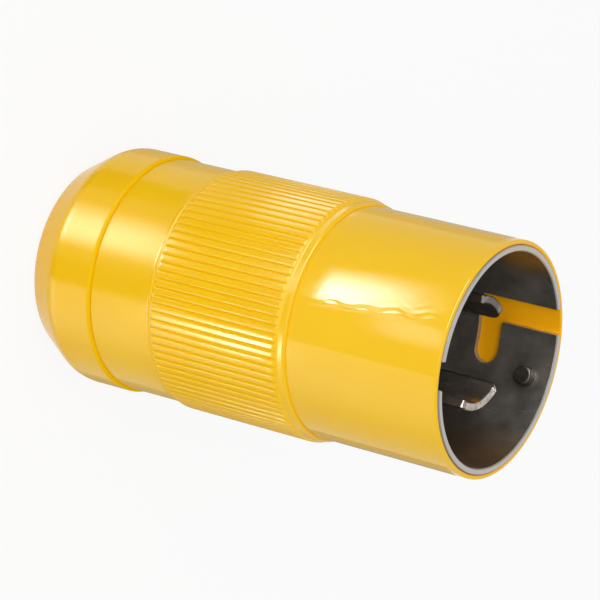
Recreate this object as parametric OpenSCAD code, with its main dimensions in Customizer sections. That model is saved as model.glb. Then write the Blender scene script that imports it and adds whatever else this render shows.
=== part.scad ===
// Two-pole twist-locking power plug with a steel grounding shell.
// It stands on its cord end: the axis is +Z and z = 0 is the flat back of the cap.

/* [Nose] */
// Outside diameter of the steel grounding shell
shell_d = 63.8; // [61:0.1:66]
// Wall of the shell
shell_wall = 1.8; // [1.4:0.1:2.2]
// Length of the nose in front of the ribbed ring
nose_len = 48; // [45:0.5:54]
// How far the shell reaches back inside the ring
shell_tuck = 14; // [12:0.5:16]
// Wall of the soft jacket over the shell
jacket_wall = 1.3; // [1:0.1:1.8]
// How far the rear edge of the jacket tucks into the ring
jacket_tuck = 6; // [4:0.5:8]
// Rounding of the jacket's front edge
jacket_round = 0.6; // [0.3:0.1:0.9]
// How far the shell's rim stands out of the jacket
rim_proud = 0.2; // [0.1:0.1:0.6]

/* [Locking slots] */
// Width of the slot leg that opens at the rim
slot_w = 7.5; // [6.5:0.1:8]
// Depth of the slot from the rim to its far side
slot_depth = 25.5; // [23:0.1:27]
// Width of the leg that runs round the shell
slot_leg_w = 7.45; // [6.5:0.05:8]
// Angle that the slot turns through, from the open leg to its round end
slot_turn = 23.8; // [20:0.1:26]
// Radius of the slot's outer corner
slot_corner = 2.5; // [1.5:0.1:3]
// Radius of the slot's inner corner
slot_inner = 0.8; // [0.4:0.1:1.2]
// Flare of the slot's mouth
slot_mouth = 0.4; // [0.2:0.1:1.2]
// Place of the first slot round the axis
slot_a = 117.6; // [110:0.1:125]
// Place of the second slot round the axis
slot_b = -74.8; // [-82:0.1:-70]

/* [Stud] */
// Diameter of the stud inside the shell
stud_d = 5.5; // [4.5:0.1:6.5]
// Diameter of the stud's shank in the wall
shank_d = 4; // [3.4:0.1:4.4]
// How far the stud stands in from the wall
stud_h = 2.6; // [2:0.1:3.5]
// Depth of the stud's middle behind the rim
stud_depth = 7.4; // [6:0.1:9]
// Place of the stud round the axis
stud_at = 84.8; // [80:0.1:90]

/* [Ribbed ring] */
// Length of the ring
ring_len = 47; // [44:0.5:52]
// Wall of the ring's front lip over the jacket, under the ribs
ring_lip = 0.85; // [0.6:0.05:1.4]
// Height of the ribs
rib_h = 0.8; // [0.5:0.05:1]
// Number of ribs
rib_count = 92; // [72:4:112]
// Width of the grooves between the ribs
groove_w = 1.0; // [0.7:0.05:1.3]
// Plain band behind the ribs
rib_rear = 1.6; // [1:0.1:3]
// Plain bead in front of the ribs
rib_front = 2.4; // [1.8:0.1:4]
// Length of the slanted rib ends
rib_end = 0.9; // [0.5:0.1:1.4]
// Rounding of the front bead
bead_round = 0.8; // [0.4:0.1:0.8]
// Thickness of the land inside the ring that carries the shell
land_t = 4; // [3:0.5:5]

/* [Rear body] */
// Length of the smooth body between the ring and the cap
mid_len = 19.5; // [17:0.5:24]
// Step down from the ring's plain band to the smooth body
mid_step = 0.15; // [0.1:0.05:0.3]
// Wall of the neck inside the ring
neck_wall = 3.7; // [3.2:0.1:4]
// Width of the shoulder that the cap closes against
tail_step = 5.05; // [4.5:0.05:5.5]
// Thickness of the floor between the neck and the tail
floor_t = 6; // [5:0.5:8]
// Thickness of the rubber ring between the neck and the land
seal_t = 1.5; // [1:0.1:2]

/* [Cap] */
// Length of the cap
cap_len = 25.5; // [24:0.5:28]
// How far the cap stands out past the smooth body
cap_lip = 0.9; // [0.6:0.05:1.2]
// Rounding of the cap's front lip
cap_round = 0.8; // [0.4:0.1:1]
// Length of the tapered rear of the cap
cap_taper = 11.4; // [9:0.1:13]
// How far the taper comes in, measured at the back
cap_drop = 6.8; // [5:0.1:7]
// Rounding of the cap's back corner
cap_back_round = 2.6; // [1.5:0.1:3]
// Thickness of the cap's back wall
cap_wall = 6; // [5:0.5:7]
// Diameter of the cord hole in the cap
cap_hole_d = 31; // [28:0.5:33]

/* [Cord seal] */
// Diameter of the cord bore in the rubber grommet
cord_d = 23; // [20:0.5:25]
// Wall of the grommet at its narrow end
grommet_wall = 4; // [3:0.2:5]
// Outside diameter of the grommet
grommet_d = 43.6; // [41:0.2:46]
// Length of the straight part of the grommet
grommet_len = 10; // [8:0.5:11]
// Thickness of the slip washer
washer_t = 1.2; // [0.8:0.1:1.6]
// Bore of the slip washer
washer_bore = 28; // [26.5:0.5:30]
// Gap left for tightening between the washer and the rear body
draw_gap = 1.3; // [1:0.1:2]

/* [Contacts] */
// Thickness of the blades
blade_t = 2.3; // [2:0.1:2.6]
// Bevel round the blade tips
blade_bevel = 0.6; // [0.3:0.1:0.8]
// Rounded corner at the side of a blade tip
blade_corner = 1; // [0.6:0.1:1.6]
// Distance from the shell's inside wall to the middle of the wide blade
wide_inset = 15.7; // [15.2:0.1:16.2]
// Place of the wide blade round the axis
wide_at = 23.5; // [18:0.5:30]
// Angle that the wide blade covers
wide_span = 77; // [68:1:84]
// Depth of the wide blade's tip behind the rim
wide_depth = 6; // [4:0.5:9]
// Rounded corner of the wide blade's leading side
wide_lead = 2.2; // [1.6:0.1:3]
// Distance from the shell's inside wall to the middle of the narrow blade
narrow_inset = 14.9; // [14.4:0.1:15.4]
// Place of the narrow blade round the axis
narrow_at = 167; // [162:0.5:174]
// Angle that the narrow blade covers
narrow_span = 55; // [48:1:62]
// Depth of the narrow blade's tip behind the rim
narrow_depth = 8; // [5:0.5:10]
// Rounded corner of the narrow blade's leading side
narrow_lead = 3.4; // [2:0.1:4]
// Angle that the blade tails cover
tail_span = 30; // [26:1:32]
// Depth of the insulator's face behind the rim
face_depth = 36; // [33:0.5:39]

/* [Terminals] */
// Thickness of the terminal block's flange
block_t = 8; // [7:0.5:10]
// Width of a terminal
terminal_w = 11; // [10:0.2:12]
// Height of a terminal
terminal_h = 16; // [14:0.5:18]
// Diameter of a terminal's wire hole
wire_d = 5; // [4.4:0.1:5.6]
// Wall between the wire hole and the blade tail
terminal_wall = 1.2; // [0.9:0.1:1.5]
// Diameter of a terminal screw
tscrew_d = 4; // [3.5:0.1:4.4]
// Diameter of a terminal screw's head
tscrew_head_d = 6.4; // [5.8:0.1:7]
// Height of a terminal screw's head
tscrew_head_h = 2.6; // [2.2:0.1:3]
// Thickness of the insulating fins
fin_t = 2; // [1.6:0.1:2.4]

/* [Ground connection] */
// Thickness of the ground strap
strap_t = 1.2; // [1:0.1:1.6]
// Width of the ground strap
strap_w = 8; // [7:0.2:9]
// Depth of the flat that the strap lies on, cut in the terminal block's core
flat_depth = 1.5; // [1.1:0.1:2.5]
// Diameter of the ground screw
gscrew_d = 4; // [3.5:0.1:4.5]
// Width across the flats of the ground screw's head
gscrew_head = 7; // [6.4:0.1:7.6]
// Height of the ground screw's head
gscrew_head_h = 2.4; // [2:0.1:3]

/* [Assembly screws] */
// Diameter of an assembly screw
ascrew_d = 3.5; // [3:0.1:4]
// Diameter of an assembly screw's head
ascrew_head_d = 6; // [5.4:0.1:6.6]
// Height of an assembly screw's head
ascrew_head_h = 3; // [2.4:0.1:3.4]
// Length of the brass inserts in the insulator
insert_len = 10; // [8:0.5:12]
// Outside diameter of the brass inserts
insert_d = 5.4; // [5:0.1:6]

/* [Hidden] */
$fn = 96;
eps = 0.5;              // overshoot of cuts
fit_gap = 0.1;          // radial play between parts that slide together
skin_gap = 0.05;        // play under the jacket and round soldered or tapped pieces
edge_gap = 0.6;         // play between a screw head and the wall beside it
edge_wall = 1.65;       // least metal between a screw hole and an edge
rim_chamfer = 0.3;      // break of the shell's rim edges
corner_reach = 1.02;    // lets the curve of a blade's corner run out past its edges
screw_angles = [95, 215, 335];
ground_angle = screw_angles[2];
fin_angles = [65, 130, 255];

// Stations along the axis, from the back of the cap to the rim
z_cap = cap_len;
z_ring = z_cap + mid_len;
z_joint = z_ring + ring_len;
z_rim = z_joint + nose_len;
z_lip = z_rim - rim_proud;
z_shell = z_joint - shell_tuck;
z_flange = z_shell + shell_wall;
z_land = z_shell - land_t;
z_face = z_rim - face_depth;
z_block = z_land - block_t;
z_term = z_block - terminal_h;
z_washer = cap_wall + washer_t;
z_tail = z_washer + draw_gap;
z_cone = z_washer + grommet_len;

// Radii from the shell outwards
shell_r = shell_d / 2;
shell_in = shell_r - shell_wall;
jacket_in = shell_r + skin_gap;
jacket_r = jacket_in + jacket_wall;
lip_in = jacket_r + fit_gap;
band_r = lip_in + ring_lip;
rib_r = band_r + rib_h;
ring_in = shell_r + fit_gap;
mid_r = band_r - mid_step;
cap_r = mid_r + cap_lip;

// Radii from the neck inwards
neck_r = ring_in - fit_gap;
cavity_r = neck_r - neck_wall;
screw_r = cavity_r - ascrew_head_d / 2 - edge_gap;
flange_in = screw_r - ascrew_d / 2 - edge_wall;
spigot_r = flange_in - fit_gap;
block_r = cavity_r - 3 * fit_gap;
tail_r = mid_r - tail_step;
wide_r = shell_in - wide_inset;
narrow_r = shell_in - narrow_inset;
core_r = min(wide_r, narrow_r) - blade_t / 2 - fit_gap - skin_gap;
strap_flat = core_r - flat_depth;
term_out = cavity_r - tscrew_head_h - 2 * edge_gap;
wire_step = blade_t / 2 + skin_gap + terminal_wall + wire_d / 2;
z_wire_screw = z_term + terminal_h / 2;

// Cord seal: the grommet narrows by its cone to the throat of the rear body
grommet_r = grommet_d / 2;
throat_r = cord_d / 2 + grommet_wall;
cone_len = grommet_r - throat_r;
z_floor = z_cone + cone_len + floor_t;

// Points of an arc, from angle a to angle b
function arc(x, y, r, a, b, n = 6) =
    [for (i = [0:n]) [x + r * cos(a + (b - a) * i / n), y + r * sin(a + (b - a) * i / n)]];

// Straight tube between two heights
module tube(r_out, r_in, low, high) {
    difference() {
        translate([0, 0, low]) cylinder(r = r_out, h = high - low);
        translate([0, 0, low - eps]) cylinder(r = r_in, h = high - low + 2 * eps);
    }
}

// Children repeated at each assembly screw
module at_screws() {
    for (a = screw_angles) rotate(a) translate([screw_r, 0, 0]) children();
}

// Children laid along the radius at one angle and height, their z axis outwards
module outwards(angle, height) {
    rotate(angle) translate([0, 0, height]) rotate([0, 90, 0]) children();
}

// Ring sector about an angle, from a profile in radius and height
module sector(angle, span) {
    rotate(angle - span / 2) rotate_extrude(angle = span) children();
}

// Soft yellow sleeve over the shell, up to just behind its rim
module front_jacket() {
    color("#f0b020") rotate_extrude() polygon(concat(
        [[jacket_in, z_lip], [jacket_in, z_joint - jacket_tuck], [jacket_r, z_joint - jacket_tuck]],
        arc(jacket_r - jacket_round, z_lip - jacket_round, jacket_round, 0, 90)
    ));
}

// L-shaped outline of a locking slot, laid flat: x runs round the shell, y is the depth below the rim
module slot_outline() {
    half = slot_w / 2;
    leg_x = shell_in * sin(slot_turn / 2);
    low = -slot_depth;
    high = slot_leg_w - slot_depth;
    lead = slot_mouth / 3;
    polygon(concat(
        [[leg_x + half + slot_mouth + 2 * eps, eps]],
        [[leg_x + half + lead, -lead], [leg_x + half, -slot_mouth]],
        arc(leg_x + half - slot_corner, low + slot_corner, slot_corner, 0, -90),
        arc(-leg_x, low + slot_leg_w / 2, slot_leg_w / 2, 270, 90, 16),
        arc(leg_x - half - slot_inner, high + slot_inner, slot_inner, -90, 0, 4),
        [[leg_x - half, -slot_mouth], [leg_x - half - lead, -lead]],
        [[leg_x - half - slot_mouth - 2 * eps, eps]]
    ));
}

// Locking slot punched through the shell's wall from the rim
module locking_slot(angle) {
    rotate(angle - slot_turn / 2) translate([shell_in / 2, 0, z_rim]) rotate([90, 0, 90])
        linear_extrude(height = shell_r) slot_outline();
}

// Steel cup with an inward flange, two locking slots and the stud's hole
module grounding_shell() {
    color("#9a9894") difference() {
        rotate_extrude() polygon([
            [shell_in + rim_chamfer, z_rim], [shell_in, z_rim - rim_chamfer], [shell_in, z_flange],
            [flange_in, z_flange], [flange_in, z_shell], [shell_r, z_shell],
            [shell_r, z_rim - rim_chamfer], [shell_r - rim_chamfer, z_rim]
        ]);
        locking_slot(slot_a);
        locking_slot(slot_b);
        at_screws() translate([0, 0, z_shell - eps])
            cylinder(d = ascrew_d + 2 * fit_gap, h = shell_wall + 2 * eps);
        outwards(stud_at, z_rim - stud_depth) translate([0, 0, shell_in - stud_h])
            cylinder(d = shank_d + 2 * skin_gap, h = stud_h + shell_wall + eps);
    }
}

// Rivet in the shell's wall with a round-edged head inside
module shell_stud() {
    head_r = stud_d / 2;
    base = sqrt(pow(shell_in, 2) - pow(head_r, 2)) - skin_gap;
    back = sqrt(pow(shell_r, 2) - pow(shank_d / 2, 2));
    edge = stud_d / 8;
    color("#8c8577") outwards(stud_at, z_rim - stud_depth) rotate_extrude() polygon(concat(
        [[0, base - stud_h]],
        arc(head_r - edge, base - stud_h + edge, edge, -90, 0, 4),
        [[head_r, base], [shank_d / 2, base], [shank_d / 2, back], [0, back]]
    ));
}

// Curved slot that a blade or a tail passes through
module blade_slot(angle, span, mid_r, low, high) {
    play = 2 * fit_gap * 180 / (PI * mid_r);
    sector(angle, span + 2 * play)
        translate([mid_r - blade_t / 2 - fit_gap, low]) square([blade_t + 2 * fit_gap, high - low]);
}

// Dark insulator: a thick disc in the shell with a spigot through its flange
module contact_carrier() {
    carrier_r = shell_in - fit_gap;
    bevel = 1;
    color("#2a2522") difference() {
        rotate_extrude() polygon([
            [0, z_land], [spigot_r, z_land], [spigot_r, z_flange], [carrier_r, z_flange],
            [carrier_r, z_face - bevel], [carrier_r - bevel, z_face], [0, z_face]
        ]);
        blade_slot(wide_at, wide_span, wide_r, z_land - eps, z_face + eps);
        blade_slot(narrow_at, narrow_span, narrow_r, z_land - eps, z_face + eps);
        at_screws() translate([0, 0, z_flange - eps]) cylinder(d = insert_d, h = insert_len + eps);
        at_screws() translate([0, 0, z_flange]) cylinder(d = ascrew_d, h = insert_len + ascrew_d / 2);
    }
}

// Rounded corner to take off a blade tip, laid flat: the two edges of the blade meet at the origin
module tip_corner(size) {
    polygon(concat(
        [[size, -size]],
        arc(-size, -size, size * corner_reach, 8, 82, 4),
        [[-size, size], [size, size]]
    ));
}

// Curved contact blade with a bevelled tip, cut back at both sides to a narrower tail for its terminal
module blade(angle, span, mid_r, depth, corners) {
    shoulder = span - tail_span;
    tip = z_rim - depth;
    near = mid_r - blade_t / 2;
    far = mid_r + blade_t / 2;
    difference() {
        sector(angle, span) polygon([
            [near, z_term], [far, z_term], [far, tip - blade_bevel],
            [far - blade_bevel, tip], [near + blade_bevel, tip], [near, tip - blade_bevel]
        ]);
        for (side = [0, 1]) {
            turn = 2 * side - 1;
            rotate(angle + turn * span / 2) translate([0, 0, tip]) rotate([90, 0, 90])
                linear_extrude(height = 2 * mid_r) scale([turn, 1]) tip_corner(corners[side]);
            sector(angle + turn * (tail_span + shoulder) / 2, shoulder)
                translate([near - eps, z_term - eps]) square([blade_t + 2 * eps, z_land - z_term + eps]);
        }
    }
}

module wide_blade() {
    color("#c9c6bf") blade(wide_at, wide_span, wide_r, wide_depth, [blade_corner, wide_lead]);
}

module narrow_blade() {
    color("#c9c6bf") blade(narrow_at, narrow_span, narrow_r, narrow_depth, [narrow_lead, blade_corner]);
}

// Insulating block behind the land: a flange, a core that the tails lie on, and fins between the poles
module terminal_block() {
    color("#3a332e") difference() {
        union() {
            translate([0, 0, z_block]) cylinder(r = block_r, h = block_t);
            difference() {
                translate([0, 0, z_term]) cylinder(r = core_r, h = terminal_h + block_t / 2);
                rotate(ground_angle) translate([strap_flat, -core_r, z_term - eps])
                    cube([core_r, 2 * core_r, terminal_h + block_t]);
            }
            for (a = fin_angles) rotate(a)
                translate([core_r - fin_t, -fin_t / 2, z_term + fin_t])
                    cube([block_r - core_r, fin_t, terminal_h - fin_t + block_t / 2]);
        }
        blade_slot(wide_at, tail_span, wide_r, z_block - eps, z_land + eps);
        blade_slot(narrow_at, tail_span, narrow_r, z_block - eps, z_land + eps);
        at_screws() translate([0, 0, z_block - eps])
            cylinder(d = ascrew_d + 2 * fit_gap, h = block_t + 2 * eps);
        outwards(ground_angle, z_wire_screw) translate([0, 0, strap_flat / 2 - eps])
            cylinder(d = gscrew_d + 2 * skin_gap, h = strap_flat);
    }
}

// Brass terminal that hugs a blade tail, with a wire hole and a side screw
module terminal(angle, mid_r) {
    difference() {
        rotate(angle) translate([mid_r, -terminal_w / 2, z_term])
            cube([term_out - mid_r, terminal_w, terminal_h]);
        translate([0, 0, z_term - eps])
            cylinder(r = mid_r + blade_t / 2 + skin_gap, h = terminal_h + 2 * eps);
        rotate(angle) translate([mid_r + wire_step, 0, z_term - eps])
            cylinder(d = wire_d, h = terminal_h + 2 * eps);
        outwards(angle, z_wire_screw) translate([0, 0, mid_r + wire_step])
            cylinder(d = tscrew_d + 2 * skin_gap, h = term_out);
    }
}

module wide_terminal() {
    color("#b8923f") terminal(wide_at, wide_r);
}

module narrow_terminal() {
    color("#b8923f") terminal(narrow_at, narrow_r);
}

// Slotted terminal screw, driven in from the side
module terminal_screw(angle, mid_r) {
    start = mid_r + wire_step + wire_d / 4;
    slot = tscrew_head_h / 2;
    outwards(angle, z_wire_screw) difference() {
        union() {
            translate([0, 0, start]) cylinder(d = tscrew_d, h = term_out - start + eps);
            translate([0, 0, term_out]) cylinder(d = tscrew_head_d, h = tscrew_head_h);
        }
        translate([0, 0, term_out + tscrew_head_h])
            cube([tscrew_head_d + eps, slot, 2 * slot], center = true);
    }
}

module terminal_screws() {
    color("#b8923f") {
        terminal_screw(wide_at, wide_r);
        terminal_screw(narrow_at, narrow_r);
    }
}

// Folded strip from one assembly screw down to the ground screw
module ground_strap() {
    color("#a8a49c") rotate(ground_angle) difference() {
        union() {
            translate([strap_flat, -strap_w / 2, z_block - strap_t])
                cube([screw_r + ascrew_head_d / 2 - strap_flat, strap_w, strap_t]);
            translate([strap_flat, -strap_w / 2, z_term]) cube([strap_t, strap_w, terminal_h]);
        }
        translate([screw_r, 0, z_block - strap_t - eps])
            cylinder(d = ascrew_d + 2 * fit_gap, h = strap_t + 2 * eps);
        translate([strap_flat - eps, 0, z_wire_screw]) rotate([0, 90, 0])
            cylinder(d = gscrew_d + 2 * skin_gap, h = strap_t + 2 * eps);
    }
}

// Green hexagon screw for the ground wire
module ground_screw() {
    color("#2f7a3c") outwards(ground_angle, z_wire_screw) {
        translate([0, 0, strap_flat / 2]) cylinder(d = gscrew_d, h = strap_flat / 2 + strap_t);
        translate([0, 0, strap_flat + strap_t])
            cylinder(d = gscrew_head / cos(30), h = gscrew_head_h, $fn = 6);
    }
}

// Screws that clamp block, land, shell and insulator together
module assembly_screws() {
    for (a = screw_angles) rotate(a) translate([screw_r, 0, 0]) {
        seat = a == ground_angle ? z_block - strap_t : z_block;
        slot = ascrew_head_h / 3;
        color("#a8a49c") difference() {
            union() {
                translate([0, 0, seat]) cylinder(d = ascrew_d, h = z_flange + insert_len - seat);
                translate([0, 0, seat - ascrew_head_h]) cylinder(d = ascrew_head_d, h = ascrew_head_h);
            }
            translate([0, 0, seat - ascrew_head_h])
                cube([ascrew_head_d + eps, slot, 2 * slot], center = true);
        }
    }
}

// Brass inserts in the insulator that take the assembly screws
module carrier_inserts() {
    color("#b8923f") at_screws()
        tube(insert_d / 2 - skin_gap, ascrew_d / 2 + skin_gap, z_flange, z_flange + insert_len);
}

// Ribbed yellow ring with a land inside for the shell
module grip_ring() {
    rib_low = z_ring + rib_rear;
    rib_high = z_joint - rib_front;
    groove_floor = band_r + rib_h / 10;
    rear_round = rib_rear / 4;
    color("#f2ab14") difference() {
        rotate_extrude() polygon(concat(
            [[ring_in, z_ring]],
            arc(band_r - rear_round, z_ring + rear_round, rear_round, -90, 0, 3),
            [[band_r, rib_low], [rib_r, rib_low + rib_end], [rib_r, rib_high - rib_end], [band_r, rib_high]],
            arc(band_r - bead_round, z_joint - bead_round, bead_round, 0, 90),
            [
                [lip_in, z_joint], [lip_in, z_joint - jacket_tuck - fit_gap],
                [ring_in, z_joint - jacket_tuck - fit_gap], [ring_in, z_shell],
                [flange_in, z_shell], [flange_in, z_land], [ring_in, z_land]
            ]
        ));
        for (i = [0:rib_count - 1]) rotate((i + 0.5) * 360 / rib_count)
            translate([0, 0, rib_low - eps]) linear_extrude(height = rib_high - rib_low + 2 * eps)
                polygon([[groove_floor, 0], [rib_r + rib_h, groove_w], [rib_r + rib_h, -groove_w]]);
        at_screws() translate([0, 0, z_land - eps])
            cylinder(d = ascrew_d + 2 * fit_gap, h = land_t + 2 * eps);
    }
}

// Yellow rear body: neck inside the ring, smooth band, and tail inside the cap
module rear_body() {
    neck_top = z_land - seal_t;
    color("#f2ab14") rotate_extrude() polygon([
        [cavity_r, neck_top], [neck_r, neck_top], [neck_r, z_ring], [mid_r, z_ring], [mid_r, z_cap],
        [tail_r, z_cap], [tail_r, z_tail], [grommet_r + fit_gap, z_tail],
        [grommet_r + fit_gap, z_cone + fit_gap], [throat_r + fit_gap, z_cone + cone_len + fit_gap],
        [throat_r + fit_gap, z_floor], [cavity_r, z_floor]
    ]);
}

// Flat rubber ring between the neck and the land
module seal_ring() {
    color("#2b2b2b") tube(neck_r - fit_gap, cavity_r + fit_gap, z_land - seal_t, z_land);
}

// Yellow clamping cap with a tapered back and the cord hole
module rear_cap() {
    slope = atan2(cap_drop, cap_taper);
    back_r = cap_r - cap_drop;
    half_turn = (90 - slope) / 2;
    flat_r = back_r - cap_back_round * tan(half_turn);
    hole_r = cap_hole_d / 2;
    hole_break = 1;
    bore_r = tail_r + fit_gap;
    color("#f2ab14") rotate_extrude() polygon(concat(
        [[hole_r, cap_wall], [hole_r, hole_break], [hole_r + hole_break, 0]],
        arc(flat_r, cap_back_round, cap_back_round, -90, -slope),
        [[cap_r, cap_taper]],
        arc(cap_r - cap_round, z_cap - cap_round, cap_round, 0, 90, 4),
        [[bore_r, z_cap], [bore_r, cap_wall]]
    ));
}

// Steel washer between the cap and the grommet
module slip_washer() {
    color("#a8a49c") tube(tail_r - fit_gap, washer_bore / 2, cap_wall, z_washer);
}

// Black rubber grommet that closes on the cord
module cord_grommet() {
    color("#1d1d1d") rotate_extrude() polygon([
        [cord_d / 2, z_washer], [grommet_r, z_washer], [grommet_r, z_cone],
        [throat_r, z_cone + cone_len], [cord_d / 2, z_cone + cone_len]
    ]);
}

front_jacket();
grounding_shell();
shell_stud();
contact_carrier();
wide_blade();
narrow_blade();
terminal_block();
wide_terminal();
narrow_terminal();
terminal_screws();
ground_strap();
ground_screw();
assembly_screws();
carrier_inserts();
grip_ring();
rear_body();
seal_ring();
rear_cap();
slip_washer();
cord_grommet();
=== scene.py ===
import math
import bpy
import numpy as np
from mathutils import Matrix, Vector


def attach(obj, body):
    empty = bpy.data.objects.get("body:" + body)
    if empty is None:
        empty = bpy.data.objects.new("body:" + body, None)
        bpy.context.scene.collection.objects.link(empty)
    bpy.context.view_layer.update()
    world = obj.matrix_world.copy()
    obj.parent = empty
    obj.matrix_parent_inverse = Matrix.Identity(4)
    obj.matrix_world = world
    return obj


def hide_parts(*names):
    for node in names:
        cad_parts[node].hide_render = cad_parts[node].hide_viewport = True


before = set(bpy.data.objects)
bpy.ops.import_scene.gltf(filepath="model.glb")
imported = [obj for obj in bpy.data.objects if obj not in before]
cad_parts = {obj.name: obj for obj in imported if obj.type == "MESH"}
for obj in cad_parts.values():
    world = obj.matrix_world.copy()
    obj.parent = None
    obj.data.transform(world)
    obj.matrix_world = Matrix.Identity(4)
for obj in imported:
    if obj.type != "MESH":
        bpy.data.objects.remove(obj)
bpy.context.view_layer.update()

scene = bpy.context.scene
mm = 0.001
print("frame loaded:", len(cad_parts), "CAD nodes")


# mesh helpers

def unit(v):
    return v / np.linalg.norm(v, axis=-1, keepdims=True)


# every corner (r, z, radius) is trimmed by radius * tan(half its turn) and bridged by an arc,
# with one guard row on each side so that the flats stay flat under smooth shading
def roundedLoop(corners, steps=5, guard=0.1):
    corners = np.array(corners, float)
    point, radius = corners[:, :2], corners[:, 2]
    into = unit(point - np.roll(point, 1, 0))
    away = unit(np.roll(point, -1, 0) - point)
    turn = np.arctan2(into[:, 0] * away[:, 1] - into[:, 1] * away[:, 0], (into * away).sum(1))
    trim = (radius * np.tan(abs(turn) / 2))[:, None]
    start = point - into * trim
    side = np.stack([-into[:, 1], into[:, 0]], 1) * np.sign(turn)[:, None]
    centre = start + side * radius[:, None]
    a = turn[:, None] * np.linspace(0, 1, steps + 1)
    v = (start - centre)[:, None]
    arc = centre[:, None] + np.stack([v[..., 0] * np.cos(a) - v[..., 1] * np.sin(a),
                                      v[..., 0] * np.sin(a) + v[..., 1] * np.cos(a)], -1)
    first = (start - into * guard)[:, None]
    last = (point + away * (trim + guard))[:, None]
    return np.concatenate([first, arc, last], 1).reshape(-1, 2)


# extra rows so that no step along the closed loop is longer than the given one
def denser(loop, step):
    closed = np.vstack([loop, loop[:1]])
    length = np.linalg.norm(np.diff(closed, axis=0), axis=1)
    at = np.concatenate([[0], np.cumsum(length)])
    count = np.maximum(1, np.ceil(length / step)).astype(int)
    s = np.concatenate([np.linspace(a, b, n, endpoint=False) for a, b, n in zip(at[:-1], at[1:], count)])
    return np.stack([np.interp(s, at, closed[:, 0]), np.interp(s, at, closed[:, 1])], 1)


# straight rows at one radius, put into a loop before the given row
def addRows(loop, index, radius, heights):
    return np.insert(loop, index, np.stack([np.full(len(heights), radius), heights], 1), 0)


# rows of points, each row a closed ring: quads join every ring to the next one;
# the values are numbers per point that the material reads
def gridPiece(name, points, closed=True, **values):
    rows, cols = points.shape[:2]
    index = np.arange(rows * cols).reshape(rows, cols)
    low = index if closed else index[:-1]
    high = np.roll(index, -1, 0) if closed else index[1:]
    quads = np.stack([low, np.roll(low, -1, 1), np.roll(high, -1, 1), high], -1).reshape(-1, 4)
    mesh = bpy.data.meshes.new(name)
    mesh.from_pydata((points.reshape(-1, 3) * mm).tolist(), [], quads.tolist())
    mesh.shade_smooth()
    for key, value in values.items():
        layer = mesh.attributes.new(key, "FLOAT", "POINT")
        layer.data.foreach_set("value", np.broadcast_to(value, (rows, cols)).astype(np.float32).ravel())
    obj = bpy.data.objects.new(name, mesh)
    scene.collection.objects.link(obj)
    return obj


# radius and height of each grid point turned about the plug's axis
def spin(r, z, angle):
    r, z, angle = np.broadcast_arrays(r, z, angle)
    return np.stack([r * np.cos(angle), r * np.sin(angle), z], -1)


def around(n):
    return np.linspace(0, 2 * np.pi, n, endpoint=False)[None, :]


def ramp(x, low, high):
    t = np.clip((x - low) / (high - low), 0, 1)
    return t * t * (3 - 2 * t)


# smaller of two heights, with the crease between them rounded over the given width
def softMin(a, b, width):
    return (a + b - np.sqrt((a - b) ** 2 + width * width)) / 2


def place(obj, material, slot, *nodes):
    obj.data.materials.clear()
    obj.data.materials.append(material)
    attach(obj, "root")
    if nodes:
        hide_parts(*nodes)
    return obj


# shader helpers

def addNode(tree, kind, inputs={}, **settings):
    node = tree.nodes.new(kind)
    for key, value in settings.items():
        setattr(node, key, value)
    for key, value in inputs.items():
        if isinstance(value, bpy.types.NodeSocket):
            tree.links.new(value, node.inputs[key])
        else:
            node.inputs[key].default_value = value
    return node


def addMath(tree, operation, *values):
    return addNode(tree, "ShaderNodeMath", dict(enumerate(values)), operation=operation).outputs[0]


def addRange(tree, value, low, high, start=0.0, end=1.0, kind="LINEAR"):
    inputs = {"Value": value, "From Min": low, "From Max": high, "To Min": start, "To Max": end}
    return addNode(tree, "ShaderNodeMapRange", inputs, interpolation_type=kind).outputs[0]


def addMix(tree, factor, first, second):
    return addNode(tree, "ShaderNodeMix", {"Factor": factor, 6: first, 7: second}, data_type="RGBA").outputs[2]


def addNoise(tree, coord, scale, **more):
    return addNode(tree, "ShaderNodeTexNoise", {"Vector": coord, "Scale": scale, **more}).outputs[0]


def addValue(tree, name):
    return addNode(tree, "ShaderNodeAttribute", attribute_name=name).outputs["Fac"]


def objectCoord(tree):
    return addNode(tree, "ShaderNodeTexCoord").outputs["Object"]


def newGroup(name, inputs, outputs):
    tree = bpy.data.node_groups.new(name, "ShaderNodeTree")
    for label, kind, value in inputs:
        socket = tree.interface.new_socket(label, in_out="INPUT", socket_type="NodeSocket" + kind)
        socket.default_value = value
    for label, kind in outputs:
        tree.interface.new_socket(label, in_out="OUTPUT", socket_type="NodeSocket" + kind)
    return tree, tree.nodes.new("NodeGroupInput").outputs, tree.nodes.new("NodeGroupOutput").inputs


def newMaterial(name, **sockets):
    material = bpy.data.materials.new(name)
    material.use_nodes = True
    tree = material.node_tree
    shader = tree.nodes["Principled BSDF"]
    for key, value in sockets.items():
        shader.inputs[key.replace("_", " ")].default_value = value
    return material, tree, shader.inputs


def addGroup(tree, group, **inputs):
    node = tree.nodes.new("ShaderNodeGroup")
    node.node_tree = group
    for key, value in inputs.items():
        node.inputs[key].default_value = value
    return node.outputs


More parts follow.
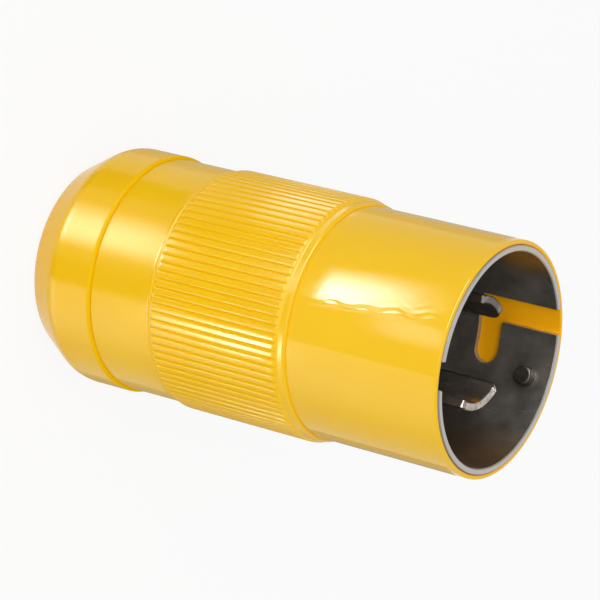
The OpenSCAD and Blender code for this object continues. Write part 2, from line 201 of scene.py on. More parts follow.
# fine grain and slow swell of a moulded surface as one normal
skinDepth = {"swell": 0.002, "grain": 0.0002}
skinGroup, gin, gout = newGroup("mouldedSkin", [("grainScale", "Float", 900.0), ("grainHeight", "Float", 0.1),
                                                ("swellScale", "Float", 60.0), ("swellHeight", "Float", 0.1)],
                                [("normal", "Vector")])
coord = objectCoord(skinGroup)
grain = addNoise(skinGroup, coord, gin["grainScale"], Detail=3.0)
swell = addNoise(skinGroup, coord, gin["swellScale"], Detail=1.0)
swellBump = addNode(skinGroup, "ShaderNodeBump", {"Strength": gin["swellHeight"], "Distance": skinDepth["swell"],
                                                  "Height": swell})
grainBump = addNode(skinGroup, "ShaderNodeBump", {"Strength": gin["grainHeight"], "Distance": skinDepth["grain"],
                                                  "Height": grain, "Normal": swellBump.outputs[0]})
skinGroup.links.new(grainBump.outputs[0], gout["normal"])

# hairline scratches, in two directions, and cloudy smudges as masks
hairline = {"lays": (((0.4, 0.2, 0.9), (1.0, 14.0, 1.0)), ((1.1, 0.7, 0.1), (12.0, 1.0, 1.0))),   # turn, stretch
            "range": (0.66, 0.74), "cloudScale": 45.0, "cloudRange": (0.4, 0.7)}
marksGroup, gin, gout = newGroup("handlingMarks", [("scale", "Float", 60.0), ("cover", "Float", 0.3)],
                                 [("scratch", "Float"), ("smudge", "Float")])
coord = objectCoord(marksGroup)
hairs = []
for turn, stretch in hairline["lays"]:
    lay = addNode(marksGroup, "ShaderNodeMapping", {"Vector": coord, "Rotation": turn, "Scale": stretch})
    hair = addNoise(marksGroup, lay.outputs[0], gin["scale"], Detail=2.0)
    hairs.append(addRange(marksGroup, hair, *hairline["range"]))
both = addMath(marksGroup, "MAXIMUM", *hairs)
cloud = addNoise(marksGroup, coord, hairline["cloudScale"], Detail=5.0, Roughness=0.6)
marksGroup.links.new(addMath(marksGroup, "MULTIPLY", both, gin["cover"]), gout["scratch"])
marksGroup.links.new(addRange(marksGroup, cloud, *hairline["cloudRange"]), gout["smudge"])

# one colour drifting slowly towards another
driftRange = (0.35, 0.65)
driftGroup, gin, gout = newGroup("tintDrift", [("colour", "Color", (1, 1, 1, 1)), ("other", "Color", (1, 1, 1, 1)),
                                               ("scale", "Float", 30.0)], [("tint", "Color")])
patch = addNoise(driftGroup, objectCoord(driftGroup), gin["scale"], Detail=4.0, Roughness=0.55)
share = addRange(driftGroup, patch, *driftRange)
driftGroup.links.new(addMix(driftGroup, share, gin["colour"], gin["other"]), gout["tint"])
print("node groups ready")


# what the numbers of a look's skin and marks stand for
skinInputs = ("grainScale", "grainHeight", "swellScale", "swellHeight")
marksInputs = ("scale", "cover")


# what all materials share: scratched colour, roughness lifted by smudges, normal and scratch mask
def coating(tree, look):
    tint = addGroup(tree, driftGroup, colour=(*look["colour"], 1), other=(*look["other"], 1), scale=look["tintScale"])
    skin = addGroup(tree, skinGroup, **dict(zip(skinInputs, look["skin"])))
    marks = addGroup(tree, marksGroup, **dict(zip(marksInputs, look["marks"])))
    rough = addMath(tree, "MULTIPLY_ADD", marks["smudge"], look["smudgeGain"], look["roughness"])
    colour = addMix(tree, marks["scratch"], tint["tint"], (*look["scuff"], 1))
    return colour, rough, skin["normal"], marks["scratch"]


# yellow plastics: scratches roughen them; where the mask of the piece says so the colour is painted light and the
# reflection is taken out: painted shade in the rib grooves and on the cap's lip, and a painted orange glow of light
# through the sleeve on its inside
scratchGain = 0.3


def yellowPlastic(name, look):
    material, tree, shader = newMaterial(name, IOR=1.5)
    colour, rough, normal, scratch = coating(tree, look)
    mask = addValue(tree, look["mask"])
    tree.links.new(addMix(tree, mask, colour, (*look["paintedLightColour"], 1)), shader["Base Color"])
    gloss = addMath(tree, "MULTIPLY_ADD", mask, -look["specular"], look["specular"])
    tree.links.new(gloss, shader["Specular IOR Level"])
    tree.links.new(addMath(tree, "MULTIPLY_ADD", scratch, scratchGain, rough), shader["Roughness"])
    tree.links.new(normal, shader["Normal"])
    return material


jacketVinyl = yellowPlastic("jacketVinyl", {
    "colour": (0.88, 0.53, 0.004), "other": (0.86, 0.505, 0.004), "tintScale": 25.0, "scuff": (0.90, 0.62, 0.10),
    "mask": "inside", "paintedLightColour": (0.99, 0.44, 0.006), "roughness": 0.05, "smudgeGain": 0.03, "specular": 0.25,
    "skin": (1500.0, 0.015, 45.0, 0.01), "marks": (90.0, 0.12)})
bodyNylon = yellowPlastic("bodyNylon", {
    "colour": (0.88, 0.53, 0.004), "other": (0.86, 0.505, 0.004), "tintScale": 40.0, "scuff": (0.90, 0.62, 0.10),
    "mask": "groove", "paintedLightColour": (0.85, 0.50, 0.003), "roughness": 0.17, "smudgeGain": 0.07, "specular": 0.25,
    "skin": (1400.0, 0.04, 60.0, 0.02), "marks": (120.0, 0.15)})


# bare metal: the cut faces of a turned wall, which don't look along its radius,
# or patches of the points that carry a wear value
bareMetal = {"facing": (0.5, 0.8), "patchScale": 380.0, "patchRange": (0.4, 0.62), "least": 0.1}


def wornEdges(tree, look):
    texture = addNode(tree, "ShaderNodeTexCoord").outputs
    if "cutFaces" in look:
        flat = addNode(tree, "ShaderNodeVectorMath", {0: texture["Object"], 1: (1, 1, 0)}, operation="MULTIPLY")
        radius = addNode(tree, "ShaderNodeVectorMath", {0: flat.outputs[0]}, operation="NORMALIZE")
        along = addNode(tree, "ShaderNodeVectorMath", {0: radius.outputs[0], 1: texture["Normal"]},
                        operation="DOT_PRODUCT")
        facing = addMath(tree, "ABSOLUTE", along.outputs["Value"])
        return addRange(tree, facing, *bareMetal["facing"], look["cutFaces"], 0.0)
    patch = addNoise(tree, texture["Object"], bareMetal["patchScale"], Detail=4.0, Roughness=0.6)
    spread = addRange(tree, patch, *bareMetal["patchRange"], bareMetal["least"], 1.0)
    return addMath(tree, "MULTIPLY", addValue(tree, "wear"), spread)


# metals and dark plastics: a painted reflection of the yellow jacket, warm colour from one x to another, bare metal
# where the piece is worn, and a darkening and a painted yellow reflection by the piece's own values
overlays = {"tarnish": (0.03, 0.025, 0.02, 1), "stain": (0.75, 0.38, 0.02, 1)}


def hardMaterial(name, look):
    material, tree, shader = newMaterial(name, Metallic=look["metallic"], IOR=1.5)
    colour, rough, normal = coating(tree, look)[:3]
    for start, full, reflectedColour in look.get("paintedReflectionSides", ()):
        x = addNode(tree, "ShaderNodeSeparateXYZ", {0: objectCoord(tree)}).outputs["X"]
        colour = addMix(tree, addRange(tree, x, start * mm, full * mm), colour, (*reflectedColour, 1))
    colour = addMix(tree, wornEdges(tree, look), colour, (*look["scuff"], 1))
    for label, overlay in overlays.items():
        colour = addMix(tree, addValue(tree, label), colour, overlay)
    tree.links.new(colour, shader["Base Color"])
    tree.links.new(rough, shader["Roughness"])
    tree.links.new(normal, shader["Normal"])
    return material


shellSteel = hardMaterial("shellSteel", {
    "metallic": 0.65, "colour": (0.22, 0.2, 0.176), "other": (0.123, 0.113, 0.098), "tintScale": 110.0,
    "scuff": (0.48, 0.465, 0.45), "roughness": 0.3, "smudgeGain": 0.2,
    "skin": (1200.0, 0.15, 160.0, 0.05), "marks": (110.0, 0.25), "cutFaces": 0.9,
    # painted reflection of the yellow jacket: warm colour on two sides of the inner wall
    "paintedReflectionSides": ((-24.5, -29.0, (0.34, 0.19, 0.03)), (16.0, 26.0, (0.17, 0.11, 0.06)))})
studSteel = hardMaterial("studSteel", {
    "metallic": 0.7, "colour": (0.075, 0.064, 0.05), "other": (0.048, 0.043, 0.035), "tintScale": 200.0,
    "scuff": (0.45, 0.42, 0.38), "roughness": 0.3, "smudgeGain": 0.15,
    "skin": (1300.0, 0.1, 200.0, 0.04), "marks": (150.0, 0.25)})
bladeNickel = hardMaterial("bladeNickel", {
    "metallic": 0.75, "colour": (0.26, 0.22, 0.19), "other": (0.17, 0.145, 0.125), "tintScale": 150.0,
    "scuff": (0.58, 0.54, 0.49), "roughness": 0.24, "smudgeGain": 0.15,
    "skin": (1500.0, 0.08, 150.0, 0.05), "marks": (120.0, 0.4)})
insulatorResin = hardMaterial("insulatorResin", {
    "metallic": 0.0, "colour": (0.022, 0.019, 0.017), "other": (0.03, 0.026, 0.022), "tintScale": 70.0,
    "scuff": (0.08, 0.07, 0.06), "roughness": 0.4, "smudgeGain": 0.15,
    "skin": (1100.0, 0.12, 60.0, 0.03), "marks": (100.0, 0.3)})
terminalBrass = hardMaterial("terminalBrass", {
    "metallic": 1.0, "colour": (0.66, 0.46, 0.16), "other": (0.52, 0.34, 0.12), "tintScale": 120.0,
    "scuff": (0.85, 0.66, 0.3), "roughness": 0.28, "smudgeGain": 0.15,
    "skin": (1300.0, 0.08, 150.0, 0.03), "marks": (130.0, 0.4)})
screwSteel = hardMaterial("screwSteel", {
    "metallic": 1.0, "colour": (0.55, 0.54, 0.52), "other": (0.42, 0.41, 0.39), "tintScale": 140.0,
    "scuff": (0.75, 0.74, 0.72), "roughness": 0.25, "smudgeGain": 0.15,
    "skin": (1300.0, 0.08, 150.0, 0.03), "marks": (130.0, 0.4)})
groundGreen = hardMaterial("groundGreen", {
    "metallic": 0.6, "colour": (0.03, 0.2, 0.05), "other": (0.02, 0.14, 0.035), "tintScale": 120.0,
    "scuff": (0.4, 0.42, 0.36), "roughness": 0.3, "smudgeGain": 0.15,
    "skin": (1300.0, 0.08, 150.0, 0.03), "marks": (130.0, 0.3)})
blackRubber = hardMaterial("blackRubber", {
    "metallic": 0.0, "colour": (0.014, 0.014, 0.015), "other": (0.022, 0.022, 0.022), "tintScale": 60.0,
    "scuff": (0.07, 0.07, 0.07), "roughness": 0.55, "smudgeGain": 0.2,
    "skin": (900.0, 0.25, 80.0, 0.05), "marks": (80.0, 0.3)})
print("materials ready")


# soft jacket over the shell: r = wall + a sum of long ripples round and along it,
# and a slanting flow mark of fine ripples on each side of the mould
jacket = {"inner": 31.95, "outer": 33.25, "rear": 86.0, "rim": 139.8,
          "edge": 0.1, "rearRound": 0.3, "lip": 0.6, "innerRound": 0.4,
          "columns": 900, "rows": 52, "rowsAfter": 16, "rowsBelow": 4, "rowsShort": 0.8,
          "outsideFade": (0.4, 0.1), "insideFade": (0.1, 0.5),
          "ripple": 0.004, "from": 95.0, "full": 108.0, "seed": 11, "phase": 6.3,
          "waves": ((9, 0.1, 1.5), (14, -0.25, 1.0), (17, 0.3, 0.8), (22, -0.12, 0.6), (26, 0.2, 0.5),
                    (15, 0.58, 0.4), (21, -0.66, 0.25)),                     # number all round, slant, size
          "mark": 0.018, "markAt": -99.5, "markMiddle": 116.0, "markLean": 0.16, "markWide": 4.0, "markWaves": 100,
          "markFrom": 97.0, "sway": ((1.5, 1.6, 0), (0.9, 2.7, 1))}          # size, length, start
loop = roundedLoop([(jacket["inner"], jacket["rear"], jacket["edge"]),
                    (jacket["outer"], jacket["rear"], jacket["rearRound"]),
                    (jacket["outer"], jacket["rim"], jacket["lip"]),
                    (jacket["inner"], jacket["rim"], jacket["innerRound"])])
lipStart = jacket["rim"] - jacket["lip"]
heights = np.linspace(jacket["from"] - jacket["rowsBelow"], lipStart - jacket["rowsShort"], jacket["rows"])
loop = addRows(loop, jacket["rowsAfter"], jacket["outer"], heights)          # rows for the ripples, outside only
turn = around(jacket["columns"])
r, z = loop[:, :1], loop[:, 1:]
rng = np.random.default_rng(jacket["seed"])
ripple = 0
for waves, slant, gain in jacket["waves"]:
    ripple = ripple + gain * np.sin(waves * turn + slant * z + rng.uniform(0, jacket["phase"]))
leant = np.degrees(turn) + jacket["markLean"] * (z - jacket["markMiddle"])
fromMark = (leant - jacket["markAt"] + 90) % 180 - 90                        # degrees from the nearer flow mark
sway = sum(gain * np.sin(z / length + start) for gain, length, start in jacket["sway"])
mark = np.exp(-(fromMark / jacket["markWide"]) ** 2) * np.sin(jacket["markWaves"] * np.radians(leant) + sway)
outside = ramp(r, jacket["inner"] + jacket["outsideFade"][0], jacket["outer"] - jacket["outsideFade"][1])
swollen = r + outside * (jacket["ripple"] * ripple * ramp(z, jacket["from"], jacket["full"])
                         + jacket["mark"] * mark * ramp(z, jacket["markFrom"], jacket["full"]))
# painted light: the inside faces take a brighter orange colour and no reflection, a painted glow of light shining
# through the sleeve
inside = 1 - ramp(r, jacket["inner"] + jacket["insideFade"][0], jacket["inner"] + jacket["insideFade"][1])
frontSleeve = place(gridPiece("frontSleeve", spin(swollen, z, turn), inside=inside),
                    jacketVinyl, "yellow_jacket", "front_jacket")
print("jacket:", len(frontSleeve.data.polygons), "faces")


# ribbed ring: r = band + the smaller of the rib's slanted end and the soft V groove beside it,
# with the top rounded off, and half a sine wave as a bead along the rear band
ring = {"bore": 32.0, "lipBore": 33.23, "band": 34.2, "rear": 45.0, "joint": 92.0, "tuck": 85.9,
        "land": (74.0, 78.0), "landBore": 21.2, "bead": 0.85, "rearRound": 0.3, "edge": 0.1, "lipEdge": 0.01,
        "steps": 8, "guard": 0.03, "slack": 0.01,
        "ribs": 92, "ribHeight": 0.8, "ribLow": 46.6, "ribHigh": 89.6, "ribEnd": 0.9, "ribRange": (46, 90.2),
        "groove": 0.5, "grooveOver": 0.1, "grooveFloor": 0.32, "grooveRange": (47.4, 88.8), "grooveShadeRange": (0.08, 0.3),
        "endSoft": 0.06, "topSoft": 0.14, "topLift": 0.01,
        "rearBead": 0.22, "rearBeadFrom": 0.15, "rearBeadLong": 1.3,
        "rows": ((45.4, 46.3, 7), (46.5, 48.1, 9), (54, 82, 4), (88.1, 89.8, 9)),
        "across": (-0.5, -0.45, -0.39, -0.34, -0.29, -0.23, 0.23, 0.29, 0.34, 0.39, 0.45)}   # share of a pitch
edge, (landLow, landHigh) = ring["edge"], ring["land"]
corners = [(ring["bore"], ring["rear"], edge), (ring["band"], ring["rear"], ring["rearRound"]),
           (ring["band"], ring["joint"], ring["bead"]), (ring["lipBore"], ring["joint"], ring["lipEdge"]),
           (ring["lipBore"], ring["tuck"], edge), (ring["bore"], ring["tuck"], edge),
           (ring["bore"], landHigh, edge), (ring["landBore"], landHigh, edge),
           (ring["landBore"], landLow, edge), (ring["bore"], landLow, edge)]
loop = roundedLoop(corners, ring["steps"], ring["guard"]).reshape(len(corners), -1, 2)
loop = np.concatenate([corner if k in (1, 2) else corner[[0, 1, -2, -1]]     # fine rows on the two outer corners
                       for k, corner in enumerate(loop)])
lowRows = (loop[:, 0] > ring["band"] - ring["slack"]) & (loop[:, 1] < ring["ribRange"][0])
split = np.flatnonzero(lowRows)[-1] + 1                                      # ribbed rows go in after the rear round
heights = np.concatenate([np.linspace(*rows) for rows in ring["rows"]])
loop = addRows(loop, split, ring["band"], heights)
r, z = loop[:, :1], loop[:, 1:]
onBand = r > ring["band"] - ring["slack"]
across = np.array(ring["across"])
pitch = 2 * np.pi * (ring["band"] + ring["ribHeight"]) / ring["ribs"]
turn = ((np.arange(ring["ribs"])[:, None] + across) * 2 * np.pi / ring["ribs"]).reshape(1, -1)
fromGroove = (0.5 - abs(np.tile(across, ring["ribs"])))[None, :] * pitch
grooveSlope = (ring["ribHeight"] + ring["grooveOver"]) * fromGroove / ring["groove"]
grooveHeight = np.hypot(ring["grooveFloor"], grooveSlope)
endHeight = ring["ribHeight"] * np.minimum(z - ring["ribLow"], ring["ribHigh"] - z) / ring["ribEnd"]
rib = softMin(softMin(grooveHeight, endHeight, ring["endSoft"]), ring["ribHeight"] + ring["topLift"], ring["topSoft"])
ribbed = (z > ring["ribRange"][0]) & (z < ring["ribRange"][1]) & onBand
rib = np.where(ribbed, np.maximum(rib, 0), 0)
# painted shade: a groove value that deepens the colour and takes out the reflection in the grooves and on the rib
# flanks
grooved = (z > ring["grooveRange"][0]) & (z < ring["grooveRange"][1]) & onBand
groove = ramp(ring["ribHeight"] - rib, *ring["grooveShadeRange"]) * grooved
upBead = np.clip((z - ring["rear"] - ring["rearBeadFrom"]) / ring["rearBeadLong"], 0, 1)
bead = ring["rearBead"] * np.sin(np.pi * upBead) * onBand
gripRing = place(gridPiece("gripRing", spin(r + np.maximum(rib, bead), z, turn), groove=groove),
                 bodyNylon, "yellow_body", "grip_ring")
print("ribbed ring:", len(gripRing.data.polygons), "faces")


# smooth rear body: one turned loop with its neck in the ring and its tail in the cap
body = {"cavity": 28.2, "neck": 31.9, "neckTop": 72.5, "ring": 45.2, "outer": 34.05, "cap": 25.5, "tail": 29.0,
        "tailEnd": 8.5, "seat": 21.9, "coneLow": 17.3, "throat": 15.6, "coneHigh": 23.6, "floor": 29.5,
        "step": 3.0, "columns": 256}
loop = denser(roundedLoop([
    (body["seat"], body["tailEnd"], 0.2), (body["tail"], body["tailEnd"], 0.4), (body["tail"], body["cap"], 0.1),
    (body["outer"], body["cap"], 0.25), (body["outer"], body["ring"], 0.03), (body["neck"], body["ring"], 0.1),
    (body["neck"], body["neckTop"], 0.3), (body["cavity"], body["neckTop"], 0.3),
    (body["cavity"], body["floor"], 0.8), (body["throat"], body["floor"], 0.4),
    (body["throat"], body["coneHigh"], 0.1), (body["seat"], body["coneLow"], 0.1)]), body["step"])
rearBody = place(gridPiece("rearBody", spin(loop[:, :1], loop[:, 1:], around(body["columns"]))),
                 bodyNylon, "yellow_body", "rear_body")

# clamping cap: straight skirt, taper and rounded back, turned; painted shade on the outer side of the lip, through
# the groove value
cap = {"hole": 15.5, "wall": 6.0, "break": 1.0, "outer": 34.95, "back": 28.15, "backRound": 2.6, "taper": 11.4,
       "front": 25.5, "lip": 0.85, "bore": 29.1, "ridge": 8.0, "shade": (1.0, 0.3),
       "steps": 6, "step": 2.0, "columns": 288}
loop = denser(roundedLoop([
    (cap["hole"], cap["wall"], 0.3), (cap["hole"], cap["break"], 0.2), (cap["hole"] + cap["break"], 0.0, 0.2),
    (cap["back"], 0.0, cap["backRound"]), (cap["outer"], cap["taper"], cap["ridge"]),
    (cap["outer"], cap["front"], cap["lip"]), (cap["bore"], cap["front"], 0.3),
    (cap["bore"], cap["wall"], 0.3)], cap["steps"]), cap["step"])
r, z = loop[:, :1], loop[:, 1:]
lipShade = ramp(z, cap["front"] - cap["shade"][0], cap["front"] - cap["shade"][1]) * (r > cap["bore"] + 1)
rearCap = place(gridPiece("rearCap", spin(r, z, around(cap["columns"])), groove=lipShade),
                bodyNylon, "yellow_body", "rear_cap")
print("rear body and cap:", len(rearBody.data.polygons) + len(rearCap.data.polygons), "faces")


# rubber grommet: straight part and cone, with moulded rings on the end that shows in the cap's hole:
# z = end + ring height * sine squared of the radius over the ring pitch
grommet = {"bore": 11.5, "outer": 21.8, "rear": 7.2, "cone": 17.2, "throat": 15.5, "front": 23.5,
           "rings": 0.25, "ringPitch": 0.9, "ringRange": (12.1, 13.9), "step": 0.25, "columns": 128}
loop = denser(roundedLoop([
    (grommet["bore"], grommet["rear"], 0.5), (grommet["outer"], grommet["rear"], 0.2),
    (grommet["outer"], grommet["cone"], 0.3), (grommet["throat"], grommet["front"], 0.3),
    (grommet["bore"], grommet["front"], 0.4)]), grommet["step"])
r, z = loop[:, :1], loop[:, 1:]
ringed = (z < grommet["rear"] + 0.01) * (r < grommet["ringRange"][1]) * (r > grommet["ringRange"][0])
rings = grommet["rings"] * np.sin((r - grommet["bore"]) * 2 * np.pi / grommet["ringPitch"]) ** 2 * ringed
cordGrommet = place(gridPiece("cordGrommet", spin(r, z + rings, around(grommet["columns"]))),
                    blackRubber, "black_rubber", "cord_grommet")
print("grommet:", len(cordGrommet.data.polygons), "faces")


# curved contact blade: a rounded rectangle, arc length s by thickness w, stacked along z; it narrows to its tail
# below the step and is drawn in at the tip, where each corner takes a quarter circle off the arc and the bevel
# one off the thickness
bladeForm = {"thick": 2.3, "edge": 0.2, "tail": 30.0, "low": 50.0, "step": 74.0, "bevel": 0.6,
             "tailRows": 12, "rows": 24, "arcRows": 9, "columns": 24, "edgeColumns": 5,
             "rowGaps": (0.2, 0.3), "stepGap": 0.02, "closed": 0.001, "tipFlat": 0.1, "wearEnd": 0.2,
             "stainAt": 0.47, "stainWide": 0.11, "stainDeep": 1.7, "stainLong": 1.1}


def contactBlade(name, own):
    blade = {**bladeForm, **own}
    bevel, corners, tip, half = blade["bevel"], blade["corners"], blade["tip"], blade["thick"] / 2
    low, step, gap, (lowGap, tipGap) = blade["low"], blade["step"], blade["stepGap"], blade["rowGaps"]
    t = np.linspace(0, np.pi / 2, blade["arcRows"])
    crown = np.unique(np.concatenate([tip - c * (1 - np.sin(t)) for c in (*corners, bevel)]).round(4))
    z = np.concatenate([[low] * 2, np.linspace(low + lowGap, step - gap, blade["tailRows"]),
                        np.linspace(step + gap, crown[0] - tipGap, blade["rows"]), crown, [tip] * 2])[:, None]
    h = half - bevel * (1 - np.sqrt(1 - np.clip((z - tip + bevel) / bevel, 0, 1) ** 2))
    h[[0, -1]] = blade["closed"]                                             # the flat ends close to a line
    h[-2] -= blade["tipFlat"]
    edge = np.minimum(blade["edge"], h)
    span = np.where(z > step, blade["span"], blade["tail"]) * np.pi / 360 * blade["mid"]
    left, right = [span - c * (1 - np.sqrt(1 - np.clip((z - tip + c) / c, 0, 1) ** 2)) for c in corners]
    n, q = blade["columns"], np.linspace(0, np.pi / 2, blade["edgeColumns"])
    flat, full = np.linspace(0, 1, n), np.ones(len(q))
    share = np.concatenate([flat, full, full, flat[::-1], 0 * full, 0 * full])
    thick = np.concatenate([-np.ones(n), -full, full, np.ones(n), full, -full])
    out = np.concatenate([0 * flat, np.sin(q), np.cos(q), 0 * flat, -np.sin(q), -np.cos(q)])
    up = np.concatenate([-np.ones(n), -np.cos(q), np.sin(q), np.ones(n), np.cos(q), -np.sin(q)])
    s = edge - left + share * (left + right - 2 * edge) + edge * out
    w = thick * (h - edge) + edge * up
    ends = blade["bare"] + blade["bareEnds"] * (2 * share - 1) ** 4
    wear = ramp(z + 0 * s, tip - blade["worn"], tip - blade["wearEnd"]) * ends
    # painted reflection of the yellow jacket: a warm spot on the inner face just below the tip
    aside = (share - blade["stainAt"]) / blade["stainWide"]
    below = (z - tip + blade["stainDeep"]) / blade["stainLong"]
    stain = blade["stain"] * np.exp(-aside ** 2 - below ** 2) * (thick < 0)  # inner face only
    points = spin(blade["mid"] + w, z, np.radians(blade["at"]) + s / blade["mid"])
    return place(gridPiece(name, points, False, wear=wear, tarnish=blade["tarnish"], stain=stain),
                 bladeNickel, "blade_metal", blade["node"])


wideBlade = contactBlade("wideBlade", {
    "node": "wide_blade", "mid": 14.4, "at": 23.5, "span": 77.0, "tip": 134.0, "corners": (1.0, 2.2),
    "worn": 1.2, "bare": 1.0, "bareEnds": 0.0, "tarnish": 0.0, "stain": 1.0})
# the narrow blade is darkened all over, half way to near black
narrowBlade = contactBlade("narrowBlade", {
    "node": "narrow_blade", "mid": 15.2, "at": 167.0, "span": 55.0, "tip": 132.0, "corners": (3.4, 1.0),
    "worn": 0.7, "bare": 0.1, "bareEnds": 0.9, "tarnish": 0.5, "stain": 0.0})
print("blades:", len(wideBlade.data.polygons) + len(narrowBlade.data.polygons), "faces")


# CAD nodes kept as they are, with the finished materials
kept = {"grounding_shell": (shellSteel, "shell_steel"), "shell_stud": (studSteel, "shell_steel"),
        "contact_carrier": (insulatorResin, "insulator"), "terminal_block": (insulatorResin, "insulator"),
        "wide_terminal": (terminalBrass, "terminal_brass"), "narrow_terminal": (terminalBrass, "terminal_brass"),
        "terminal_screws": (terminalBrass, "terminal_brass"), "carrier_inserts": (terminalBrass, "terminal_brass"),
        "ground_strap": (screwSteel, "screw_steel"), "assembly_screws": (screwSteel, "screw_steel"),
        "slip_washer": (screwSteel, "screw_steel"), "ground_screw": (groundGreen, "ground_green"),
        "seal_ring": (blackRubber, "black_rubber")}
for name, (material, slot) in kept.items():
    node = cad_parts[name]
    node.data.materials.clear()
    node.data.materials.append(material)
print("kept CAD nodes:", len(kept))


# pale floor and soft studio light
studio = {"reach": 3, "drop": -0.0003, "paint": (0.85, 0.85, 0.85, 1), "lift": 0.87, "sky": (0.64, 1.0),
          "keyPlace": (-0.08, -1.2, 0.95), "keyTarget": (0, 0, 0.08), "keySize": (1.2, 1.2), "keyWatts": 11.0,
          "edgePlace": (-0.553, -0.659, 0.353), "edgeTarget": (0, 0, 0.09), "edgeSize": (0.8, 0.5), "edgeLevel": 15}
white = (1, 1, 1, 1)
floorMesh = bpy.data.meshes.new("floor")
floorMesh.from_pydata([(x * studio["reach"], y * studio["reach"], studio["drop"])
                       for x, y in ((-1, -1), (1, -1), (1, 1), (-1, 1))], [], [(0, 1, 2, 3)])
floor = bpy.data.objects.new("floor", floorMesh)
scene.collection.objects.link(floor)


# 1 for the rays that show the surroundings as a picture, 0 for those that only light the part
def seenRays(tree):
    path = addNode(tree, "ShaderNodeLightPath").outputs
    mirrored = addMath(tree, "MAXIMUM", path["Is Camera Ray"], path["Is Glossy Ray"])
    return addMath(tree, "MAXIMUM", mirrored, path["Is Transmission Ray"])


floorPaint = bpy.data.materials.new("floorPaint")
floorPaint.use_nodes = True
tree = floorPaint.node_tree
tree.nodes.clear()
matte = addNode(tree, "ShaderNodeBsdfDiffuse", {"Color": studio["paint"]})
glow = addNode(tree, "ShaderNodeEmission", {"Color": white, "Strength": 1.0})
lift = addMath(tree, "MULTIPLY", seenRays(tree), studio["lift"])
mixed = addNode(tree, "ShaderNodeMixShader", {0: lift, 1: matte.outputs[0], 2: glow.outputs[0]})
addNode(tree, "ShaderNodeOutputMaterial", {"Surface": mixed.outputs[0]})
floor.data.materials.append(floorPaint)

world = bpy.data.worlds.new("studio")
scene.world = world
world.use_nodes = True
tree = world.node_tree
background = tree.nodes["Background"].inputs
background["Color"].default_value = white
tree.links.new(addRange(tree, seenRays(tree), 0.0, 1.0, *studio["sky"]), background["Strength"])


def areaLamp(name, matrix, size, watts):
    data = bpy.data.lights.new(name, "AREA")
    data.shape = "RECTANGLE"
    data.size, data.size_y = size
    data.energy = watts
    lamp = bpy.data.objects.new(name, data)
    scene.collection.objects.link(lamp)
    lamp.matrix_world = matrix
    lamp.visible_camera = False
    return lamp


def lookAt(start, target):
    turn = (Vector(target) - Vector(start)).to_track_quat("-Z", "Y").to_matrix().to_4x4()
    return Matrix.Translation(start) @ turn


areaLamp("key", lookAt(studio["keyPlace"], studio["keyTarget"]), studio["keySize"], studio["keyWatts"])


# where the floor shows mirrored in the plug: from a wall turned by phi the mirrored ray leaves at 2 phi,
# and from height z it lands away * z / (eye - z) further out, for an eye at that height and distance
mirror = {"radius": 0.034, "eye": 0.528, "away": 0.697}


def mirrorSpot(phi, z):
    phi, out = np.radians(phi), mirror["away"] * z * mm / (mirror["eye"] - z * mm)
    return np.stack([mirror["radius"] * np.sin(phi) + out * np.sin(2 * phi),
                     -mirror["radius"] * np.cos(phi) - out * np.cos(2 * phi)], -1)


# the same the other way: wall angle and height from a place on the floor
mirrorGroup, gin, gout = newGroup("mirrorFloor", [], [("phi", "Float"), ("z", "Float")])
position = addNode(mirrorGroup, "ShaderNodeNewGeometry").outputs["Position"]
spot = addNode(mirrorGroup, "ShaderNodeSeparateXYZ", {0: position}).outputs
flat = addNode(mirrorGroup, "ShaderNodeCombineXYZ", {0: spot["X"], 1: spot["Y"]})
reach = addNode(mirrorGroup, "ShaderNodeVectorMath", {0: flat.outputs[0]}, operation="LENGTH").outputs["Value"]
turned = addMath(mirrorGroup, "ARCTAN2", spot["X"], addMath(mirrorGroup, "MULTIPLY", spot["Y"], -1.0))
ratio = addMath(mirrorGroup, "SUBTRACT", 2.0, addMath(mirrorGroup, "DIVIDE", mirror["radius"], reach))
phi = addMath(mirrorGroup, "DIVIDE", turned, ratio)
beyond = addMath(mirrorGroup, "SUBTRACT", reach, mirror["radius"])
drop = addMath(mirrorGroup, "DIVIDE", beyond, addMath(mirrorGroup, "ADD", beyond, mirror["away"]))
mirrorGroup.links.new(addMath(mirrorGroup, "DEGREES", phi), gout["phi"])
mirrorGroup.links.new(addMath(mirrorGroup, "MULTIPLY", drop, mirror["eye"] / mm), gout["z"])


def fadeWindow(tree, value, steps):
    rise = addRange(tree, value, steps[0], steps[1], kind="SMOOTHSTEP")
    fall = addRange(tree, value, steps[2], steps[3], 1.0, 0.0, "SMOOTHSTEP")
    return addMath(tree, "MULTIPLY", rise, fall)


# low panels that only show as reflections: each fades in and out by the wall angle and the height at which it is
# mirrored; their spread is cut so that they leave a camera lower than this one alone, and the level is the one
# this camera sees
panelForm = {"spread": 69, "lift": 0.002, "liftStep": 0.0002, "margin": (6, 1), "turns": 9}


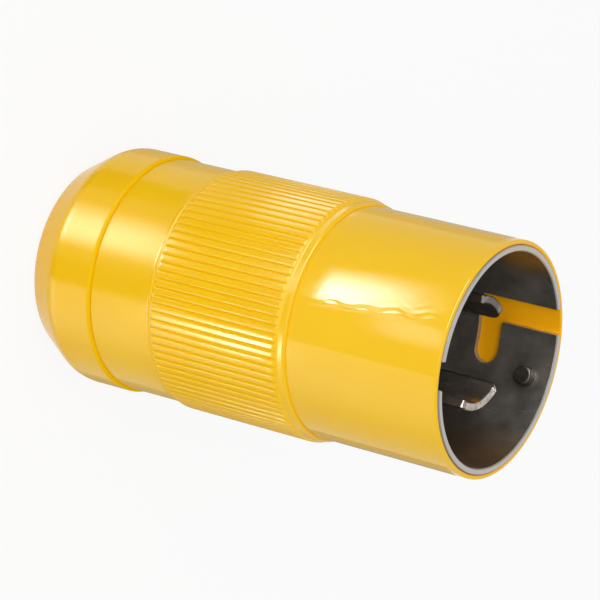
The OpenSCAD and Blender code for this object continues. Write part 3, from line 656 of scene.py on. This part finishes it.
def floorPanel(name, panel):
    before, after = panelForm["margin"]
    turns = np.linspace(panel["phi"][0] - before, panel["phi"][3] + after, panelForm["turns"])
    ends = mirrorSpot(turns[:, None], np.array([panel["z"][0], panel["z"][3]])).reshape(-1, 2)
    low, high = ends.min(0), ends.max(0)
    middle, size = (low + high) / 2, high - low
    lift = panelForm["lift"] + panelForm["liftStep"] * len(bpy.data.lights)  # in one plane they would hide each other
    up = Matrix(((1, 0, 0, middle[0]), (0, -1, 0, middle[1]), (0, 0, -1, lift), (0, 0, 0, 1)))
    spread = math.radians(panelForm["spread"])
    slope = mirror["away"] / (mirror["eye"] - (panel["z"][1] + panel["z"][2]) / 2 * mm)
    passed = (math.tan(spread) - slope) / (math.tan(spread) - spread)
    lamp = areaLamp(name, up, size, panel["level"] / passed * math.pi * size[0] * size[1])
    lamp.data.spread = 2 * spread
    lamp.visible_diffuse = False
    lamp.data.use_nodes = True
    tree = lamp.data.node_tree
    seen = addGroup(tree, mirrorGroup)
    over = addMath(tree, "SUBTRACT", seen["z"], panel["z"][0])
    lean = addMath(tree, "MULTIPLY_ADD", over, panel.get("lean", 0.0), seen["phi"])
    share = addMath(tree, "MULTIPLY", fadeWindow(tree, lean, panel["phi"]), fadeWindow(tree, seen["z"], panel["z"]))
    tree.links.new(share, tree.nodes["Emission"].inputs["Strength"])


panels = {
    "barrelPanel": {"phi": (-26.0, -10.0, -6.4, -6.0), "z": (94.5, 98.0, 101.0, 138.0), "lean": 0.16, "level": 42.0},
    "barrelLine": {"phi": (-4.3, -3.9, -3.3, -2.9), "z": (95.0, 99.0, 122.0, 132.0), "lean": 0.16, "level": 9.0},
    "barrelPatch": {"phi": (-9.0, -5.0, -2.0, 5.0), "z": (108.0, 124.0, 133.0, 140.0), "level": 5.0},
    "capPanel": {"phi": (-27.0, -13.0, -10.0, -1.5), "z": (3.0, 7.0, 44.0, 47.0), "level": 14.0},
    "ribPanel": {"phi": (15.5, 17.5, 23.0, 28.0), "z": (66.0, 67.5, 84.5, 86.5), "level": 48.0},
    "ribStrip": {"phi": (15.5, 17.5, 22.0, 27.0), "z": (43.0, 46.0, 66.0, 67.5), "level": 12.0},
    "ribPatch": {"phi": (-67.0, -58.0, -43.0, -34.0), "z": (58.0, 66.0, 82.0, 84.5), "level": 7.0},
    "lowPanel": {"phi": (14.8, 15.4, 28.0, 52.0), "z": (2.0, 6.0, 138.0, 145.0), "level": 2.0}}
for name, panel in panels.items():
    floorPanel(name, panel)

# a lamp low in front, mirrored by rounded edges only
edgeWatts = studio["edgeSize"][0] * studio["edgeSize"][1] * math.pi * studio["edgeLevel"]
edgeLamp = areaLamp("edgeLamp", lookAt(studio["edgePlace"], studio["edgeTarget"]), studio["edgeSize"], edgeWatts)
edgeLamp.visible_diffuse = False


# felt cards, seen in reflections only as well, keep the dark stripes between the panels
cardForm = {"rows": 13, "cols": 9, "lift": 0.001, "roughness": 0.9}


def floorCard(name, card):
    rows, cols, grey = cardForm["rows"], cardForm["cols"], (card["grey"], card["grey"], card["grey"], 1)
    felt = newMaterial(name, Base_Color=grey, Roughness=cardForm["roughness"], Specular_IOR_Level=0.0)[0]
    spots = mirrorSpot(np.linspace(*card["phi"], rows)[:, None], np.linspace(*card["z"], cols)).reshape(-1, 2)
    quads = [(a, a + 1, a + cols + 1, a + cols) for a in range((rows - 1) * cols) if a % cols < cols - 1]
    mesh = bpy.data.meshes.new(name)
    mesh.from_pydata([(x, y, cardForm["lift"]) for x, y in spots], [], quads)
    mesh.materials.append(felt)
    obj = bpy.data.objects.new(name, mesh)
    scene.collection.objects.link(obj)
    obj.visible_camera = obj.visible_diffuse = obj.visible_shadow = obj.visible_transmission = False


cards = {"bodyCard": {"phi": (3.0, 15.0), "z": (3.0, 45.5), "grey": 0.02},
         "upperCard": {"phi": (-47.0, -34.0), "z": (3.0, 45.5), "grey": 0.02},
         "ribCard": {"phi": (-30.0, 14.0), "z": (45.5, 88.5), "grey": 0.02},
         "ribLowCard": {"phi": (42.0, 68.0), "z": (46.0, 86.0), "grey": 0.25},
         "edgeCard": {"phi": (71.0, 89.5), "z": (2.0, 140.0), "grey": 0.45},
         "topCard": {"phi": (-89.0, -66.0), "z": (2.0, 140.0), "grey": 0.6}}
for name, card in cards.items():
    floorCard(name, card)

# camera solved from the photo
view = {"place": (0.0, -0.729604, 0.528455), "turn": (-21.32, -55.3543, 115.5826), "lens": 183.16, "sensor": 36.0,
        "clip": (0.05, 20)}
camera = bpy.data.objects.new("camera", bpy.data.cameras.new("camera"))
scene.collection.objects.link(camera)
camera.location = view["place"]
camera.rotation_euler = [math.radians(a) for a in view["turn"]]
camera.data.lens = view["lens"]
camera.data.sensor_width = view["sensor"]
camera.data.clip_start, camera.data.clip_end = view["clip"]
scene.camera = camera
scene.view_settings.view_transform = "Standard"
print("stage, light and camera ready")
